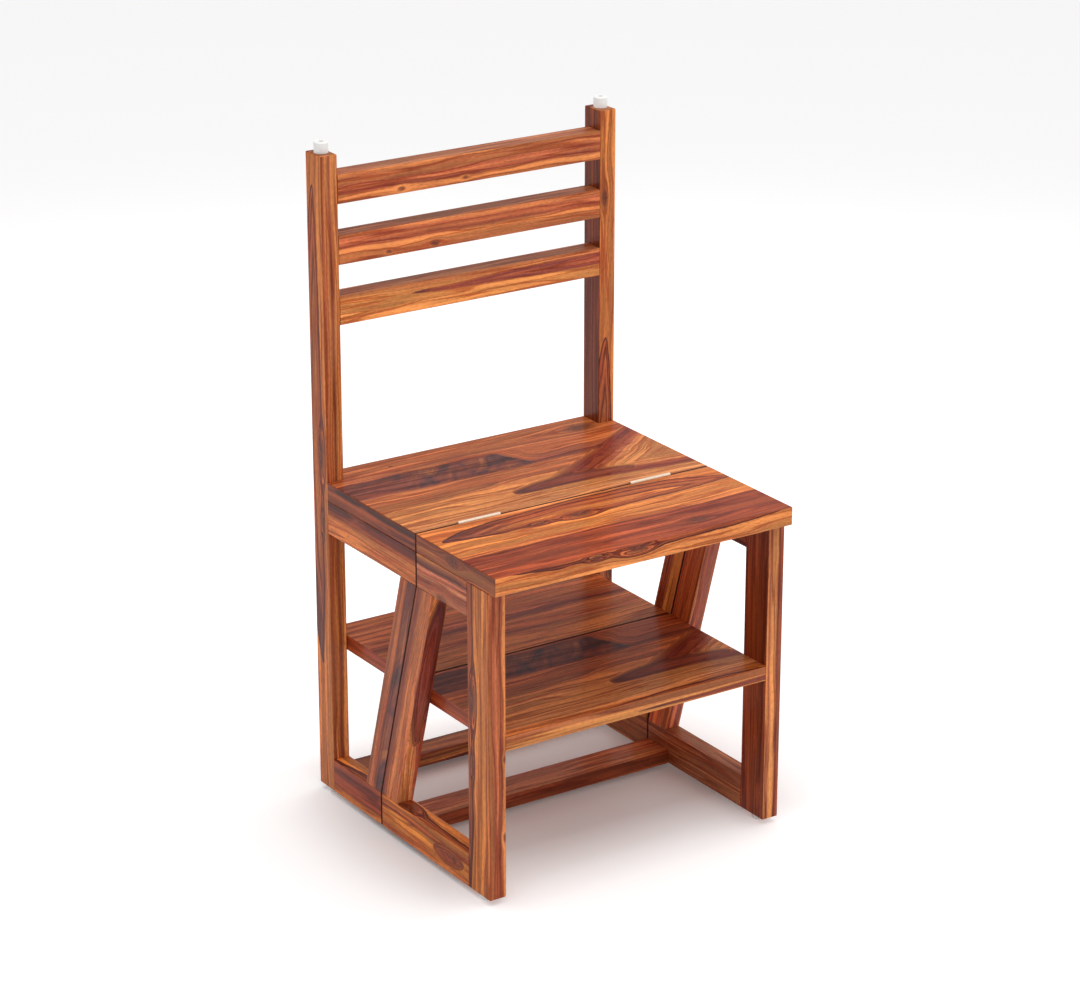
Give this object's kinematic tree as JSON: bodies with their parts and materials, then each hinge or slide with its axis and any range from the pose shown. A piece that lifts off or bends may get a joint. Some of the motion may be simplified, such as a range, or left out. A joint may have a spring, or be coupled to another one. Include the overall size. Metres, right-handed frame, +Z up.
{
  "type": "step_chair",
  "caption": "Hardwood chair split across its seat on two butt hinges; the half with the back turns over to the front and the chair becomes a short flight of steps.",
  "frame": {"origin": "on the floor, under the middle of the chair's outline", "axes": "+Z up, -Y the way a sitter faces, +X to the right of someone who faces the chair"},
  "size_m": [0.458, 0.448, 0.914],
  "materials": {
    "hardwood": "satin lacquer, streaked orange to red-brown",
    "dark_hardwood": "satin lacquer, dark brown heartwood",
    "nickelled_steel": "nickel plated",
    "white_nylon": "moulded"
  },
  "bodies": {
    "front_half": {"front_leg_left": "hardwood", "front_apron_left": "hardwood", "front_brace_left": "hardwood", "front_floor_rail_left": "hardwood", "front_leg_right": "hardwood", "front_apron_right": "hardwood", "front_brace_right": "hardwood", "front_floor_rail_right": "hardwood", "front_seat_board": "hardwood", "front_step_board": "dark_hardwood", "front_stretcher": "dark_hardwood", "front_glide_left": "white_nylon", "front_glide_nail_left": "nickelled_steel", "hinge_left_front_leaf": "nickelled_steel", "hinge_left_pin": "nickelled_steel", "hinge_left_front_screw_1": "nickelled_steel", "hinge_left_front_screw_2": "nickelled_steel", "hinge_left_front_screw_3": "nickelled_steel", "front_glide_right": "white_nylon", "front_glide_nail_right": "nickelled_steel", "hinge_right_front_leaf": "nickelled_steel", "hinge_right_pin": "nickelled_steel", "hinge_right_front_screw_1": "nickelled_steel", "hinge_right_front_screw_2": "nickelled_steel", "hinge_right_front_screw_3": "nickelled_steel"},
    "rear_half": {"rear_post_left": "hardwood", "rear_apron_left": "hardwood", "rear_brace_left": "hardwood", "rear_floor_rail_left": "hardwood", "rear_post_right": "hardwood", "rear_apron_right": "hardwood", "rear_brace_right": "hardwood", "rear_floor_rail_right": "hardwood", "rear_seat_board": "hardwood", "rear_step_board": "dark_hardwood", "rear_stretcher": "dark_hardwood", "back_slat_top": "hardwood", "back_slat_middle": "hardwood", "back_slat_bottom": "hardwood", "rear_glide_left": "white_nylon", "rear_glide_nail_left": "nickelled_steel", "top_glide_left": "white_nylon", "top_glide_nail_left": "nickelled_steel", "hinge_left_rear_leaf": "nickelled_steel", "hinge_left_rear_screw_1": "nickelled_steel", "hinge_left_rear_screw_2": "nickelled_steel", "hinge_left_rear_screw_3": "nickelled_steel", "rear_glide_right": "white_nylon", "rear_glide_nail_right": "nickelled_steel", "top_glide_right": "white_nylon", "top_glide_nail_right": "nickelled_steel", "hinge_right_rear_leaf": "nickelled_steel", "hinge_right_rear_screw_1": "nickelled_steel", "hinge_right_rear_screw_2": "nickelled_steel", "hinge_right_rear_screw_3": "nickelled_steel"}
  },
  "joints": [
    {"name": "turn_over", "type": "hinge", "parent": "front_half", "child": "rear_half", "pos_m": [0, -0.037, 0.457], "axis": [1, 0, 0], "range_deg": [0, 180]}
  ]
}
